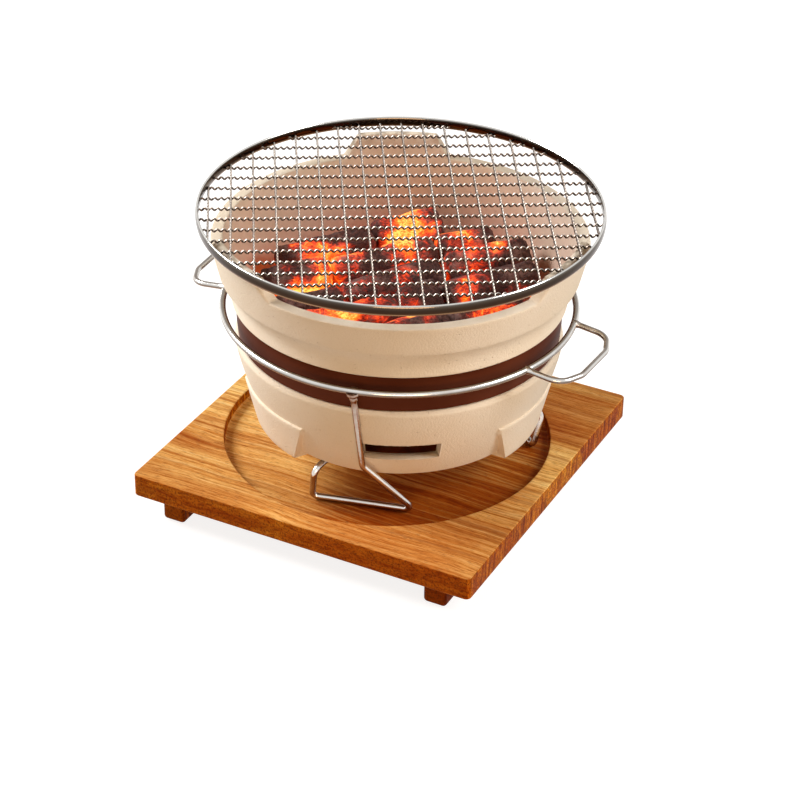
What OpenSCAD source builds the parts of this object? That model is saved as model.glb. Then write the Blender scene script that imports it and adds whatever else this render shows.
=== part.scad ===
// Charcoal brazier on a wooden tray.
// Origin: on the hearth's upright axis, at the level of the runners' undersides.
// +X runs along the right handle, +Y to the back, +Z up. All sizes in millimetres.
// The hearth's air slot looks to the front and right, along the direction front_dir.

/* [Tray] */
// Side of the square tray board
tray_side = 280; // [250:1:360]
// Thickness of the tray board
tray_thick = 18.5; // [14:0.5:30]
// Radius of the board's upright corners
tray_corner_r = 4; // [1:0.5:12]
// Chamfer along the board's top and bottom edges
tray_chamfer = 1; // [0.5:0.1:3]
// Distance of the board's centre to the left of the hearth's axis
tray_shift_left = 5.5; // [0:0.5:12]
// Distance of the board's centre to the front of the hearth's axis
tray_shift_front = 8.9; // [0:0.1:14]
// Radius of the round recess in the board
recess_r = 125; // [116:0.5:128]
// Distance of the recess's centre behind the board's centre
recess_shift = 2.5; // [0:0.1:4]
// Depth of the round recess
recess_depth = 7.5; // [4:0.5:10]
// Width of one runner
runner_w = 18; // [12:0.5:30]
// Height of one runner
runner_h = 18; // [10:0.5:30]
// Distance from the board's centre line to a runner's centre line
runner_off = 109.5; // [90:0.5:120]
// Set-back of the runners' ends from the board's edge
runner_setback = 6.5; // [2:0.5:20]
// Shank diameter of a runner screw
screw_d = 4; // [3:0.5:5]
// Length of a runner screw
screw_len = 30; // [24:1:32]
// Head diameter of a runner screw
screw_head_d = 8; // [6:0.5:10]
// Distance between the two screws of a runner
screw_pitch = 180; // [120:5:220]

/* [Stand] */
// Diameter of the stand's wire
wire_d = 5; // [4:0.1:6.5]
// Radius of the stand's ring, at the wire's centre
ring_r = 131.5; // [129.5:0.5:145]
// Height of the ring's centre above the recess floor
ring_rise = 121.2; // [115:0.1:135]
// Direction of the front leg, in degrees from +X
leg_dir = -77; // [-85:1:-70]
// Clear space between a leg and the turn in the hearth's lower wall
leg_gap = 0.8; // [0.5:0.1:3]
// Height of a leg's knee above the recess floor
knee_rise = 49.5; // [42:0.5:54]
// Angle by which the knee leans sideways from the leg's top
knee_turn = 1.7; // [0:0.1:4]
// Radius of the foot wire's inner corner
heel_r = 101.5; // [90:0.1:108]
// Angle from the leg to the foot wire's inner corner
heel_turn = 21.5; // [12:0.5:25]
// Radius of the foot wire's outer corner
toe_r = 104.4; // [95:0.1:112]
// Angle from the leg back to the foot wire's outer corner
toe_turn = -22.6; // [-30:0.1:-15]
// Radius of the top of the riser that carries the hearth
riser_r = 111; // [105:0.5:116]
// Angle from the leg back to the top of the riser
riser_turn = -19; // [-26:0.5:-12]
// Height of the carrying wires' centre above the recess floor
carry_rise = 32; // [26:0.5:38]
// Centre-line radius of the bends at a leg's knee and riser
leg_bend_r = 7; // [4:0.5:10]
// Centre-line radius of the bends at both ends of a foot wire
foot_bend_r = 4; // [3:0.5:8]
// Radius of the weld bead that joins the carrying wires
hub_r = 9; // [6:0.5:14]
// Height of that weld bead
hub_h = 5; // [4:0.5:8]
// Radius of the weld collar at the top of a leg
weld_r = 4; // [3:0.1:5]
// Length of the weld collar at the top of a leg
weld_len = 6; // [3:0.5:10]
// Diameter of the handles' wire
handle_wire_d = 4.4; // [3.5:0.1:6]
// Distance from the axis to the outermost wire centre of a handle
handle_reach = 161; // [150:0.5:185]
// Half of a handle's width, between wire centres
handle_half_w = 38.5; // [30:0.5:46]
// Distance from the axis to a handle's outer corners, along its middle line
handle_shoulder = 153; // [145:0.5:180]
// Centre-line radius of the handles' corners
handle_bend_r = 14; // [6:0.5:16]
// Drop of a handle's outer end below the ring
handle_drop = 3.5; // [0:0.1:8]
// Angle by which both handles lean to the front from the X axis
handle_lean = 2.2; // [0:0.1:6]

/* [Hearth] */
// Height from the hearth's base to the crown of its rim
hearth_h = 159.5; // [150:0.5:170]
// Radius of the base's lower edge
base_r = 101.5; // [96:0.5:106]
// Radius at which the tangents to both ends of the lower wall's curve meet
belly_r = 118.2; // [112:0.1:120]
// Height of that meeting point above the base
belly_rise = 34; // [28:0.5:42]
// Radius of the lip below the waist
lip_r = 123; // [121.2:0.1:124.5]
// Height of the slope between the lip and the waist
lip_slope_h = 2.4; // [1:0.1:4]
// Height of the waist's lower edge above the base
waist_low = 65; // [60:0.5:70]
// Radius of the waist's lower edge
waist_r = 120.7; // [120.2:0.1:121]
// Height of the brown waist
waist_h = 30.6; // [24:0.1:36]
// Radius of the upper wall's lower edge
skirt_r = 125; // [123:0.5:128]
// Height of the step under the collar, above the skirt's edge
cove_h = 23.2; // [20:0.1:30]
// Depth of the step under the collar
step_depth = 1.8; // [1:0.1:4]
// Sag of the hollow between the step and the skirt's edge
cove_sag = 2.2; // [0.5:0.1:4]
// Radius of the collar's lower edge
collar_low_r = 133.5; // [130:0.5:137]
// Radius of the collar at its top
collar_top_r = 142; // [139:0.5:143.5]
// Rounding of the collar's outer top edge
crown_round = 5; // [2:0.5:7]
// Thickness of the wall at the rim
rim_wall = 8; // [7:0.5:13]
// Thickness of the wall at the waist, behind the band
waist_wall = 9; // [7:0.5:12]
// Thickness of the wall around the ash chamber
base_wall = 8; // [7:0.5:10]
// Thickness of the floor
floor_thick = 11; // [8:0.5:14]
// Depth of the low stretches of the rim below its crown
notch_depth = 16.5; // [8:0.5:22]
// Half angle of a low stretch's flat floor
notch_half = 42.5; // [30:0.5:50]
// Slope of the ramps at the ends of a low stretch, in degrees
ramp_slope = 55; // [40:1:75]
// Direction of the hearth's front, in degrees from +X
front_dir = -61.5; // [-75:0.5:-50]
// Angle covered by the air slot
slot_angle = 29; // [16:0.5:34]
// Height of the air slot
slot_h = 14.2; // [8:0.1:16]
// Height of the air slot's floor above the base
slot_rise = 18.5; // [15:0.1:24]
// Angle covered by one foot pad at its top
pad_angle = 44; // [30:1:50]
// Angle covered by one foot pad at its foot
pad_low_angle = 28; // [16:1:40]
// Reach of the foot pads below the base
pad_drop = 3.8; // [2:0.1:8]
// Radius of a pad's lower outer edge
pad_low_r = 108.5; // [106:0.5:110]
// Height of a pad's top edge above the base
pad_rise = 31.5; // [20:0.5:36]
// Proudness of a pad's top edge over the wall
pad_proud = 2; // [0.5:0.1:3]
// Thickness of the brown band
band_thick = 2; // [1.5:0.1:3]
// Bulge of the brown band at half height
band_bulge = 1.2; // [0:0.1:1.5]

/* [Fire] */
// Thickness of the fire grate
grate_thick = 10; // [6:0.5:16]
// Height of the grate's seat above the hearth's base
seat_rise = 45; // [40:0.5:54]
// Width of the ledge that carries the grate
seat_w = 7; // [5:0.5:12]
// Thickness of that ledge
seat_thick = 5; // [4:0.5:8]
// Diameter of a hole in the grate
grate_hole_d = 13; // [8:0.5:16]
// Distance between rings of holes in the grate
grate_hole_pitch = 28; // [24:0.5:34]
// Height of a piece of charcoal in the lower layer
lump_h = 32; // [24:0.5:34]
// Space between the middle lines of two rows of charcoal
lump_pitch = 34; // [28:0.5:36]
// Sideways slant of a piece of charcoal from end to end, at most
lump_slant = 6; // [0:0.5:9]
// Gap between neighbouring pieces of charcoal
lump_gap = 0.4; // [0.2:0.1:0.8]
// Clear space between the charcoal and the hearth's wall
fire_margin = 6; // [3:0.5:15]

/* [Grill] */
// Outer diameter of the grill
grill_d = 299; // [294:1:320]
// Width of the grill's rolled rim
rim_w = 2.6; // [2.2:0.1:6]
// Height of the grill's rolled rim
rim_h = 8; // [5:0.1:10]
// Height of the rim's middle above the mesh
rim_rise = 1.95; // [0.5:0.05:3]
// Diameter of the mesh wires
mesh_d = 1.6; // [1.2:0.1:2]
// Spacing of the mesh wires
mesh_pitch = 16.5; // [16:0.25:22]
// Clearance between crossing mesh wires
mesh_clear = 0.3; // [0.2:0.05:0.6]
// Turn of the mesh about the upright axis, in degrees
mesh_turn = 30.6; // [0:0.1:45]

/* [Fits] */
// Gap between pieces that rest on each other and lift off
seat_gap = 0.3; // [0.2:0.05:0.5]
// Clearance around the band, the screws and the grate
fit_gap = 0.15; // [0.1:0.05:0.3]

/* [Hidden] */
$fn = 96;
LEGS = 3;
recess_z = runner_h + tray_thick - recess_depth;    // recess floor
foot_z = recess_z + seat_gap + wire_d / 2;          // centre of the foot wires
ring_z = recess_z + ring_rise;
knee_z = recess_z + knee_rise;
carry_z = recess_z + carry_rise;
base_z = carry_z + wire_d / 2 + seat_gap;           // underside of the hearth
crown_z = base_z + hearth_h;
belly_z = base_z + belly_rise;
waist_z = base_z + waist_low;
lip_z = waist_z - lip_slope_h;
skirt_z = waist_z + waist_h;
parting_z = waist_z + waist_h / 2;                  // where the collar meets the wall, behind the band
step_z = skirt_z + cove_h;
notch_z = crown_z - notch_depth;
pad_z = base_z + pad_rise;
slot_z = base_z + slot_rise;
seat_z = base_z + seat_rise;
floor_z = base_z + floor_thick;
leg_lean = min([for (k = [0 : 8]) lean_past(knee_z + (lip_z - knee_z) * k / 8)]);
knee_r = ring_r - (ring_z - knee_z) * tan(leg_lean);
groove_r = waist_r - band_thick;                    // bottom of the waist's groove
cavity_r = groove_r - waist_wall;                   // inside radius at the waist's lower edge
seat_r = cavity_r - seat_w;                         // inside radius of the grate's ledge
wall_tilt = (collar_top_r - rim_wall - cavity_r) / (crown_z - waist_z);
grate_r = inner_r(seat_z) - 2 * fit_gap;
grate_z = seat_z + seat_gap;
fire_z = grate_z + grate_thick;                     // top of the grate
amp = (mesh_d + mesh_clear) / 2;                    // rise of a mesh wire at a crossing
mesh_z = crown_z + seat_gap + amp + mesh_d / 2;
rim_r = (grill_d - rim_w) / 2;
rim_z = mesh_z + rim_rise;
mesh_reach = rim_r - rim_w / 4;
mesh_count = 2 * floor((rim_r - rim_w) / mesh_pitch + 0.5);
runner_len = tray_side - 2 * runner_setback;
screw_tip = screw_d;
screw_z = 1;                                        // screw heads lie this deep in the runners

CREAM = [0.85, 0.76, 0.64];
BROWN = [0.20, 0.08, 0.04];
STEEL = [0.75, 0.75, 0.76];
WOOD = [0.74, 0.48, 0.22];
COAL = [0.25, 0.08, 0.05];

// Lean from upright at which a leg passes the lower wall at a height
function lean_past(z) =
    let (off = ring_r - outer_r(z), drop = ring_z - z)
    atan2(off, drop) - asin((wire_d / 2 + leg_gap) / norm([off, drop]));

// Inside radius of the hearth's wall at a height above the grate's ledge
function inner_r(z) = cavity_r + wall_tilt * (z - waist_z);

// Outside radius of the lower wall at a height: a curve from the base to the lip
function outer_r(z) =
    let (curl = base_z - 2 * belly_z + lip_z,
         rise = 2 * belly_rise,
         t = 2 * (z - base_z) / (rise + sqrt(rise * rise + 4 * curl * (z - base_z))))
    (1 - t) * (1 - t) * base_r + 2 * t * (1 - t) * belly_r + t * t * lip_r;

// ---- wires -------------------------------------------------------------------------

function unit(v) = v / norm(v);
function polar(r, a, z) = [r * cos(a), r * sin(a), z];

// Points of the bend of centre-line radius r at corner p, between directions u and v
function bend_points(p, u, v, r, steps) =
    let (half = acos(u * v) / 2,
         inward = unit(v - u),
         along = unit(u + v),
         centre = p + inward * (r / cos(half)))
    [for (k = [0 : steps])
        let (a = half * (2 * k / steps - 1))
        centre + r * (along * sin(a) - inward * cos(a))];

// Centre line through corner points, with a bend of its own radius at each inner corner
function bent(corners, radii, steps) =
    let (last = len(corners) - 1,
         dirs = [for (i = [0 : last - 1]) unit(corners[i + 1] - corners[i])])
    [for (i = [0 : last])
        each (i == 0 || i == last) ? [corners[i]]
            : bend_points(corners[i], dirs[i - 1], dirs[i], radii[i], steps)];

// Direction of a centre line at each of its points
function headings(path) =
    let (last = len(path) - 1)
    [for (i = [0 : last]) unit(unit(path[min(i + 1, last)] - path[min(i, last - 1)])
                               + unit(path[max(i, 1)] - path[max(i - 1, 0)]))];

// A sideways direction carried along the headings without twist
function carried(dirs, side, i = 0) =
    i == len(dirs) ? []
        : let (s = unit(side - (side * dirs[i]) * dirs[i])) concat([s], carried(dirs, s, i + 1));

// Round wire of n sides along a centre line, with its own radius at each point
module swept(path, radii, n, side) {
    rings = len(path);
    dirs = headings(path);
    sides = carried(dirs, side);
    points = [for (i = [0 : rings - 1], k = [0 : n - 1])
        let (a = 360 * k / n)
        path[i] + radii[i] * (cos(a) * sides[i] + sin(a) * cross(dirs[i], sides[i]))];
    walls = [for (i = [0 : rings - 2], k = [0 : n - 1])
        let (a = i * n + k, b = i * n + (k + 1) % n)
        each [[a, b + n, b], [a, a + n, b + n]]];
    caps = [for (k = [1 : n - 2])
        each [[0, k, k + 1], [(rings - 1) * n, (rings - 1) * n + k + 1, (rings - 1) * n + k]]];
    polyhedron(points = points, faces = concat(walls, caps), convexity = 6);
}

function same(value, path) = [for (p = path) value];

// ---- tray --------------------------------------------------------------------------

module at_tray() {
    translate([-tray_shift_left, -tray_shift_front, 0]) children();
}

// Rounded square plate outline, drawn in by inset
module plate_outline(inset) {
    half = tray_side / 2 - inset;
    r = tray_corner_r;
    union() {
        square([2 * half, 2 * (half - r)], center = true);
        square([2 * (half - r), 2 * half], center = true);
        for (x = [-1, 1], y = [-1, 1])
            translate([x * (half - r), y * (half - r)]) circle(r);
    }
}

module screw_places() {
    for (x = [-1, 1], y = [-1, 1])
        translate([x * runner_off, y * screw_pitch / 2, 0]) children();
}

// Countersunk screw that points up, grown by clear all round
module screw(clear) {
    head_h = (screw_head_d - screw_d) / 2;
    translate([0, 0, -clear])
        cylinder(h = screw_len - screw_tip + clear, d = screw_d + 2 * clear);
    translate([0, 0, screw_len - screw_tip])
        cylinder(h = screw_tip + 2 * clear, d1 = screw_d + 2 * clear, d2 = 2 * clear + 0.6);
    translate([0, 0, -clear])
        cylinder(h = head_h + clear, d1 = screw_head_d + 2 * clear, d2 = screw_d + 2 * clear);
}

module tray_board() {
    color(WOOD)
    at_tray()
        difference() {
            translate([0, 0, runner_h])
                union() {
                    translate([0, 0, tray_chamfer])
                        linear_extrude(tray_thick - 2 * tray_chamfer) plate_outline(0);
                    linear_extrude(tray_thick) plate_outline(tray_chamfer);
                }
            translate([0, recess_shift, recess_z]) cylinder(h = recess_depth + 1, r = recess_r);
            screw_places() translate([0, 0, screw_z]) screw(fit_gap);
        }
}

// Runner with its four long edges eased
module runner(side) {
    ease = 1.5;
    color(WOOD * 0.8)
    at_tray()
        difference() {
            translate([side * runner_off, runner_len / 2, 0])
                rotate([90, 0, 0])
                    linear_extrude(runner_len)
                        polygon([[-runner_w / 2 + ease, 0], [runner_w / 2 - ease, 0],
                                 [runner_w / 2, ease], [runner_w / 2, runner_h],
                                 [-runner_w / 2, runner_h], [-runner_w / 2, ease]]);
            screw_places() {
                translate([0, 0, screw_z]) screw(fit_gap);
                translate([0, 0, -1]) cylinder(h = screw_z + 1, d = screw_head_d + 2 * fit_gap);
            }
        }
}

module tray_runner_left() { runner(-1); }
module tray_runner_right() { runner(1); }

module runner_screws() {
    color(STEEL)
    at_tray() screw_places() translate([0, 0, screw_z]) screw(0);
}

// ---- stand -------------------------------------------------------------------------

module stand_ring() {
    color(STEEL)
    translate([0, 0, ring_z])
        rotate_extrude()
            translate([ring_r, 0]) circle(d = wire_d);
}

// One leg: weld under the ring, knee, foot wire on the tray, riser and carrying wire
module leg(i) {
    top = polar(ring_r, 0, ring_z);
    knee = polar(knee_r, knee_turn, knee_z);
    lead = unit(knee - top);
    collar = wire_d / 2 + weld_len;
    corners = [top + lead * (collar + weld_r - wire_d / 2), knee,
               polar(heel_r, heel_turn, foot_z),
               polar(toe_r, toe_turn, foot_z),
               polar(riser_r, riser_turn, carry_z),
               polar(hub_r / 2, riser_turn, carry_z)];
    bends = [0, leg_bend_r, foot_bend_r, foot_bend_r, leg_bend_r, 0];
    line = bent(corners, bends, 5);
    path = concat([top, top + lead * collar], line);
    radii = concat([weld_r, weld_r], same(wire_d / 2, line));
    color(STEEL)
    rotate([0, 0, leg_dir + i * 360 / LEGS])
        swept(path, radii, 16, [0, 1, 0]);
}

module stand_leg_front() { leg(0); }
module stand_leg_right() { leg(1); }
module stand_leg_left() { leg(2); }

module stand_hub_weld() {
    color(STEEL)
    translate([0, 0, carry_z - hub_h / 2]) cylinder(h = hub_h, r = hub_r);
}

// Loop handle that drops a little to its outer end, welded to the ring at both ends
module handle(turn) {
    start = sqrt(ring_r * ring_r - handle_half_w * handle_half_w);
    shoulder_z = -handle_drop * (handle_shoulder - start) / (handle_reach - start);
    path = [[start, -handle_half_w, 0],
            [handle_shoulder, -handle_half_w, shoulder_z],
            [handle_reach, -handle_half_w / 2, -handle_drop],
            [handle_reach, handle_half_w / 2, -handle_drop],
            [handle_shoulder, handle_half_w, shoulder_z],
            [start, handle_half_w, 0]];
    line = bent(path, same(handle_bend_r, path), 5);
    color(STEEL)
    translate([0, 0, ring_z])
        rotate([0, 0, turn])
            swept(line, same(handle_wire_d / 2, line), 16, [0, 0, 1]);
}

module stand_handle_right() { handle(-handle_lean); }
module stand_handle_left() { handle(180 + handle_lean); }

// ---- hearth ------------------------------------------------------------------------

// Outline of the hollow between the collar's step and the skirt's edge
function cove_points(n) = [for (i = [0 : n])
    let (t = i / n)
    [skirt_r + (collar_low_r - step_depth - skirt_r) * t - cove_sag * sin(180 * t),
     skirt_z + cove_h * t]];

// Rounded outer corner of the rim's crown
function crown_points(n) = [for (i = [0 : n])
    let (a = 90 * i / n)
    [collar_top_r - crown_round + crown_round * cos(a),
     crown_z - crown_round + crown_round * sin(a)]];

module hearth_profile() {
    bevel = 2;
    wall = [for (k = [0 : 12])
        let (z = base_z + bevel + (lip_z - base_z - bevel) * k / 12) [outer_r(z), z]];
    outside = concat(
        [[0, base_z], [base_r - bevel, base_z]],
        wall,
        [[waist_r, waist_z], [groove_r, waist_z], [groove_r, skirt_z]],
        cove_points(8),
        [[collar_low_r, step_z]],
        crown_points(5));
    inside = [[collar_top_r - rim_wall + 2, crown_z],
              [collar_top_r - rim_wall, crown_z - 2],
              [inner_r(waist_z), waist_z],
              [inner_r(seat_z), seat_z],
              [seat_r, seat_z],
              [seat_r, seat_z - seat_thick],
              [outer_r(slot_z + slot_h) - base_wall, slot_z + slot_h],
              [outer_r(floor_z + 2) - base_wall, floor_z + 2],
              [outer_r(floor_z) - base_wall - 1, floor_z],
              [0, floor_z]];
    polygon(concat(outside, inside));
}

// Foot pad: a proud stretch of wall that reaches below the base and narrows to its foot
module pad(turn) {
    depth = 16;
    spare = 2;                                      // reach of the cutters past the pad
    top_r = outer_r(pad_z);
    low_z = base_z - pad_drop;
    low_half = pad_low_r * sin(pad_low_angle / 2);
    top_half = top_r * sin(pad_angle / 2);
    rotate([0, 0, turn])
        intersection() {
            rotate([0, 0, -pad_angle / 2 - spare])
                rotate_extrude(angle = pad_angle + 2 * spare)
                    polygon([[pad_low_r - depth, low_z], [pad_low_r - 1.5, low_z],
                             [pad_low_r, low_z + 1.5], [top_r + pad_proud, pad_z - 1],
                             [top_r - 0.5, pad_z + 0.6], [top_r - 6, pad_z],
                             [pad_low_r - depth, base_z + floor_thick / 2]]);
            rotate([90, 0, 90])
                linear_extrude(top_r + pad_proud + spare)
                    polygon([[-low_half, low_z - spare], [low_half, low_z - spare], [low_half, low_z],
                             [top_half, pad_z], [top_half, pad_z + spare],
                             [-top_half, pad_z + spare], [-top_half, pad_z], [-low_half, low_z]]);
        }
}

// Cutter for a low stretch of the rim, with a ramp at each end
module notch(turn) {
    start = collar_top_r - rim_wall - 10;
    wide = rim_wall + 20;
    low = -2;
    high = notch_depth + 2;
    lap = 3;                                        // angle by which the ramps reach over the floor
    back = 2 * lap * collar_top_r * PI / 180;
    translate([0, 0, notch_z]) {
        rotate([0, 0, turn - notch_half + lap])
            rotate_extrude(angle = 2 * (notch_half - lap))
                translate([start, low]) square([wide, high - low]);
        for (side = [-1, 1])
            rotate([0, 0, turn + side * notch_half])
                translate([start, 0, 0])
                    rotate([90, 0, 90])
                        linear_extrude(wide)
                            polygon([[-side * back, low], [side * low / tan(ramp_slope), low],
                                     [side * high / tan(ramp_slope), high], [-side * back, high]]);
    }
}

// The hearth from one height to another, with its rim whole
module hearth_part(low, high) {
    color(CREAM)
    intersection() {
        difference() {
            union() {
                rotate_extrude() hearth_profile();
                for (i = [0 : LEGS - 1]) pad(front_dir + (i + 0.5) * 360 / LEGS);
            }
            rotate([0, 0, front_dir - slot_angle / 2])
                rotate_extrude(angle = slot_angle)
                    translate([base_r / 2, slot_z]) square([belly_r, slot_h]);
        }
        translate([0, 0, low]) cylinder(h = high - low, r = collar_top_r + 1);
    }
}

module hearth_base() { hearth_part(base_z - 2 * pad_drop, floor_z); }
module hearth_wall() { hearth_part(floor_z, parting_z); }
module hearth_collar() { hearth_part(parting_z, notch_z); }

// The raised stretches of the rim, which carry the grill
module hearth_lugs() {
    color(CREAM)
    difference() {
        hearth_part(notch_z, crown_z + 1);
        for (i = [0 : LEGS - 1]) notch(front_dir + i * 360 / LEGS);
    }
}

module waist_band() {
    r0 = groove_r + fit_gap;
    low = waist_z + fit_gap;
    high = skirt_z - fit_gap;
    color(BROWN)
    rotate_extrude()
        polygon(concat([[r0, high], [r0, low]],
            [for (i = [0 : 8])
                let (t = i / 8)
                [waist_r - 0.6 + band_bulge * sin(180 * t), low + (high - low) * t]]));
}

// ---- fire --------------------------------------------------------------------------

module fire_grate() {
    color(CREAM * 0.7)
    difference() {
        translate([0, 0, grate_z]) cylinder(h = grate_thick, r = grate_r);
        for (ring = [0 : floor((grate_r - seat_w - grate_hole_d) / grate_hole_pitch)])
            for (k = [0 : max(1, 6 * ring) - 1])
                rotate([0, 0, k * 60 / max(1, ring)])
                    translate([ring * grate_hole_pitch, 0, grate_z - 1])
                        cylinder(h = grate_thick + 2, d = grate_hole_d, $fn = 48);
    }
}

// How many pieces of charcoal lie in each row of the lower and the upper layer
ROWS = [[1, 2, 2, 2, 1], [2, 3, 3, 3, 2]];

// Every piece of charcoal as its layer, its row and its place in the row
LUMPS = [for (layer = [0, 1], row = [0 : len(ROWS[layer]) - 1], part = [0 : ROWS[layer][row] - 1])
    [layer, row, part]];

// Half length of the row at offset y from the middle that fits inside the wall at height z
function row_half(y, z) = sqrt(pow(inner_r(z) - fire_margin, 2) - pow(abs(y) + lump_pitch / 2, 2));

// Place along a row's half length where its pieces part, from -1 at one end to 1 at the other
function parting(k, count, seed) =
    2 * k / count - 1 + (k > 0 && k < count ? 0.16 * sin(seed * 97 + k * 140) : 0);

// Outline of a log's end: a flat below, a ridge on top and uneven faces between
function log_outline(w, h, seed) =
    let (low = sin(90 - 180 / 7), wide = cos(90 - 540 / 7))
    [for (k = [0 : 6])
        let (a = (k + 0.5) * 360 / 7 - 90,
             r = (k == 0 || k == 3 || k == 6) ? 1 : 1 - 0.07 * ((seed + k * 5) % 3))
        [w / 2 * r * cos(a) / wide, k == 3 ? h : h * (r * sin(a) + low) / (1 + low)]];

// Split log of charcoal along +X, with broken-off arrises at both ends
module log_piece(l, w, h, seed) {
    ease = 3;
    outline = log_outline(w, h, seed);
    rotate([90, 0, 90]) {
        translate([0, 0, ease - l / 2]) linear_extrude(l - 2 * ease) polygon(outline);
        translate([0, 0, -l / 2])
            linear_extrude(l)
                polygon([for (p = outline) [p[0] * 0.84, p[1] < 0.1 ? p[1] : p[1] * 0.88]]);
    }
}

// Piece n lies slanted in its share of a row, which it fills from edge to edge
module charcoal(n) {
    layer = LUMPS[n][0];
    row = LUMPS[n][1];
    part = LUMPS[n][2];
    count = ROWS[layer][row];
    seed = 10 * layer + row;
    y = (row - (len(ROWS[layer]) - 1) / 2) * lump_pitch;
    h = lump_h * (layer == 0 ? 1 : 0.92 + 0.1 * sin(n * 75));
    half = row_half(y, fire_z + layer * lump_h);
    x0 = half * parting(part, count, seed) + lump_gap / 2;
    x1 = half * parting(part + 1, count, seed) - lump_gap / 2;
    share = [x1 - x0, lump_pitch - lump_gap];
    yaw = asin(lump_slant * sin(n * 131 + 40) / share[0]);
    c = cos(yaw);
    t = abs(sin(yaw));
    color(COAL)
    rotate([0, 0, front_dir + 25 + 90 * layer])
        translate([(x0 + x1) / 2, y, fire_z + lump_gap + layer * (lump_h + lump_gap)])
            rotate([0, 0, yaw])
                log_piece((share[0] * c - share[1] * t) / (c * c - t * t),
                          (share[1] * c - share[0] * t) / (c * c - t * t), h, n);
}

// ---- grill -------------------------------------------------------------------------

module grill_rim() {
    r = rim_w / 2;
    straight = rim_h - rim_w;
    color(STEEL)
    translate([0, 0, rim_z])
        rotate_extrude()
            translate([rim_r, 0]) {
                square([rim_w, straight], center = true);
                for (s = [-1, 1]) translate([0, s * straight / 2]) circle(r, $fn = 32);
            }
}

// Centre line of crimped wire number i of a set, which passes over and under the
// wires of the other set by turns and runs level from its last crossings to the rim
function crimp(i) =
    let (mid = (mesh_count - 1) / 2,
         y = (i - mid) * mesh_pitch,
         half = sqrt(mesh_reach * mesh_reach - y * y),
         span = (half - mesh_d / 2) / mesh_pitch,
         first = ceil(mid - span),
         last = floor(mid + span),
         crossings = [for (k = [first : last])
             [(k - mid) * mesh_pitch, y, amp * ((i + k) % 2 == 0 ? 1 : -1)]])
    concat([[-half, y, crossings[0][2]]],
           crossings,
           [[half, y, crossings[last - first][2]]]);

module mesh_set(turn) {
    color(STEEL)
    translate([0, 0, mesh_z])
        rotate([0, 0, turn])
            for (i = [0 : mesh_count - 1])
                swept(crimp(i), same(mesh_d / 2, crimp(i)), 6, [0, 1, 0]);
}

module grill_wires_across() { mesh_set(mesh_turn); }
module grill_wires_along() { mesh_set(mesh_turn + 90); }

// ---- pieces ------------------------------------------------------------------------

tray_board();
tray_runner_left();
tray_runner_right();
runner_screws();
stand_ring();
stand_leg_front();
stand_leg_right();
stand_leg_left();
stand_hub_weld();
stand_handle_right();
stand_handle_left();
hearth_base();
hearth_wall();
hearth_collar();
hearth_lugs();
waist_band();
fire_grate();
for (n = [1 : len(LUMPS)])
    charcoal(n - 1);
grill_rim();
grill_wires_across();
grill_wires_along();
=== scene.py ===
import math

import bmesh
import bpy
import numpy as np
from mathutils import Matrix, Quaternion, Vector, noise


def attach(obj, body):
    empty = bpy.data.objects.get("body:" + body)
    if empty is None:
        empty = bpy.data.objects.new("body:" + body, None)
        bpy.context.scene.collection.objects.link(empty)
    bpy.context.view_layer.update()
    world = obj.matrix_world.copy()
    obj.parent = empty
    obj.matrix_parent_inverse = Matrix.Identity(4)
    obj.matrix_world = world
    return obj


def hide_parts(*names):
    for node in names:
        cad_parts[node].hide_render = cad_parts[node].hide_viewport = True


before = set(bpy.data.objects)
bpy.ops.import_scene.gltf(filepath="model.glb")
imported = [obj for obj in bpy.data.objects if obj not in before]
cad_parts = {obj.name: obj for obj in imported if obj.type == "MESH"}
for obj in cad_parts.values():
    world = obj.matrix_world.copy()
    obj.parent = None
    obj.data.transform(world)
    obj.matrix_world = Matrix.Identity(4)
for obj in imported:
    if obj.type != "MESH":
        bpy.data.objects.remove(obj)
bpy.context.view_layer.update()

MM = 0.001

# ---- Driving sizes, in millimetres, and directions, in degrees from +X
THIRD = 120.0               # legs, pads and the rim's low stretches repeat at this angle
FRONT_DIR = -61.5           # the air slot looks this way
LEG_DIR = -77.0             # the front leg

# tray
BOARD_SIDE = 280.0
BOARD_Z = (18.0, 36.5)
BOARD_CENTRE = (-5.5, -8.9)
BOARD_CORNER = 4.0
BOARD_EDGE = 1.1            # rounding of the board's outer edges
RECESS_R = 125.0
RECESS_CENTRE = (-5.5, -6.4)
RECESS_Z = 29.0
RUNNER_W = 18.0
RUNNER_OFF = 109.5
RUNNER_LEN = 267.0
RUNNER_EDGE = 2.6

# stand. Corners of a leg are a radius and an angle from the leg's top, and the knee has its height too
WIRE_R = 2.5
RING_R = 131.5
RING_Z = 150.2
CARRY_Z = 61.0              # the wires under the hearth
FOOT_Z = 31.8
KNEE = (116.45, 1.7, 78.5)
HEEL = (101.5, 21.5)
TOE = (104.4, -22.6)
RISER = (111.0, -19.0)
LEG_BENDS = (7.0, 4.0, 4.0, 7.0)
HUB_R = 8.9
HANDLE_WIRE_R = 2.2
HANDLE_REACH = 161.0
HANDLE_HALF_W = 38.5
HANDLE_SHOULDER = 153.0
HANDLE_DROP = 3.5
HANDLE_BEND = 14.0
HANDLE_SINK = 0.8           # how far its ends go into the ring
HANDLE_LEAN = 2.2

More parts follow.
